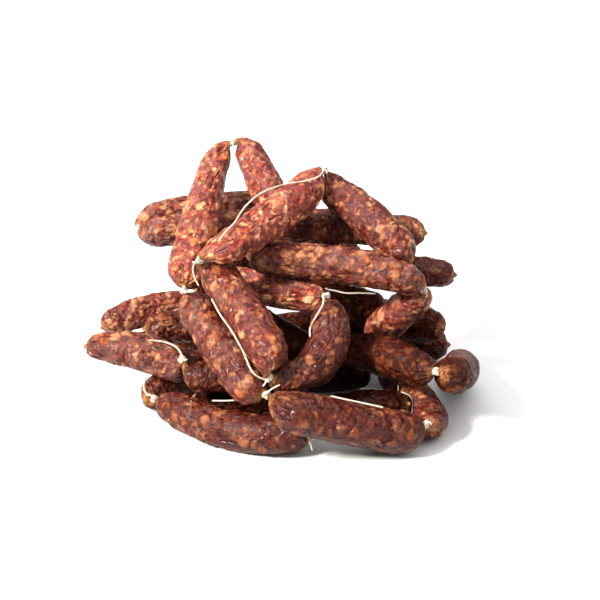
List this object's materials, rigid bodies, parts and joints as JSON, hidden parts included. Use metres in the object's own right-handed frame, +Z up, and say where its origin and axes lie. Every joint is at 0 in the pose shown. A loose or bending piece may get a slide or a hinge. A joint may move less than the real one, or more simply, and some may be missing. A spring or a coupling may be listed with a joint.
{
  "type": "string of sausage links",
  "caption": "Heap of small dry-cured sausage links on one string, tied off between the links with thin cotton twine.",
  "frame": {"origin": "centre of the bounding box at the surface that the heap lies on", "axes": "+Z up, +X along the heap's longest side, the heap's front faces -Y"},
  "size_m": [0.2744, 0.2538, 0.1659],
  "materials": {
    "sausage": "dry-cured meat in a thin natural casing: dark red-brown lean with orange and cream fat, glossy in spots, a little pale bloom",
    "twine": "off-white cotton butcher's twine"
  },
  "bodies": {
    "root": {"link_back_left_floor": "sausage", "link_back_middle": "sausage", "link_back_right_floor": "sausage", "link_back_slope": "sausage", "link_back_top": "sausage", "link_back_top_left": "sausage", "link_crown_front": "sausage", "link_crown_left": "sausage", "link_crown_rear": "sausage", "link_crown_right": "sausage", "link_floor_left_inner": "sausage", "link_floor_middle": "sausage", "link_floor_right_inner": "sausage", "link_front_bowed": "sausage", "link_front_floor": "sausage", "link_front_right_upper": "sausage", "link_front_slanting": "sausage", "link_inner_right": "sausage", "link_left_arm_front": "sausage", "link_left_arm_rear": "sausage", "link_left_floor": "sausage", "link_left_inner": "sausage", "link_left_inner_low": "sausage", "link_left_shoulder": "sausage", "link_left_shoulder_thin": "sausage", "link_left_steep": "sausage", "link_middle_inner": "sausage", "link_middle_long": "sausage", "link_middle_steep": "sausage", "link_right_drooping": "sausage", "link_right_end_on": "sausage", "link_right_floor": "sausage", "link_right_front_middle": "sausage", "link_right_rear_floor": "sausage", "link_right_rear_middle": "sausage", "link_right_shelf": "sausage", "link_right_shoulder": "sausage", "run_between_floor_and_steep": "twine", "run_hanging_inside": "twine", "run_on_front_right": "twine", "run_on_inner_floor": "twine", "run_under_arm": "twine", "run_under_long": "twine", "tie_bowed_top": "twine", "tie_crown_peak": "twine", "tie_crown_ridge": "twine", "tie_floor_front": "twine", "tie_floor_left": "twine", "tie_front": "twine", "tie_front_slanting": "twine", "tie_left_shoulder": "twine", "tie_left_steep_top": "twine", "tie_middle_foot": "twine", "tie_middle_left": "twine", "tie_right_end": "twine", "tie_right_floor": "twine", "tie_right_fold": "twine"}
  },
  "joints": []
}
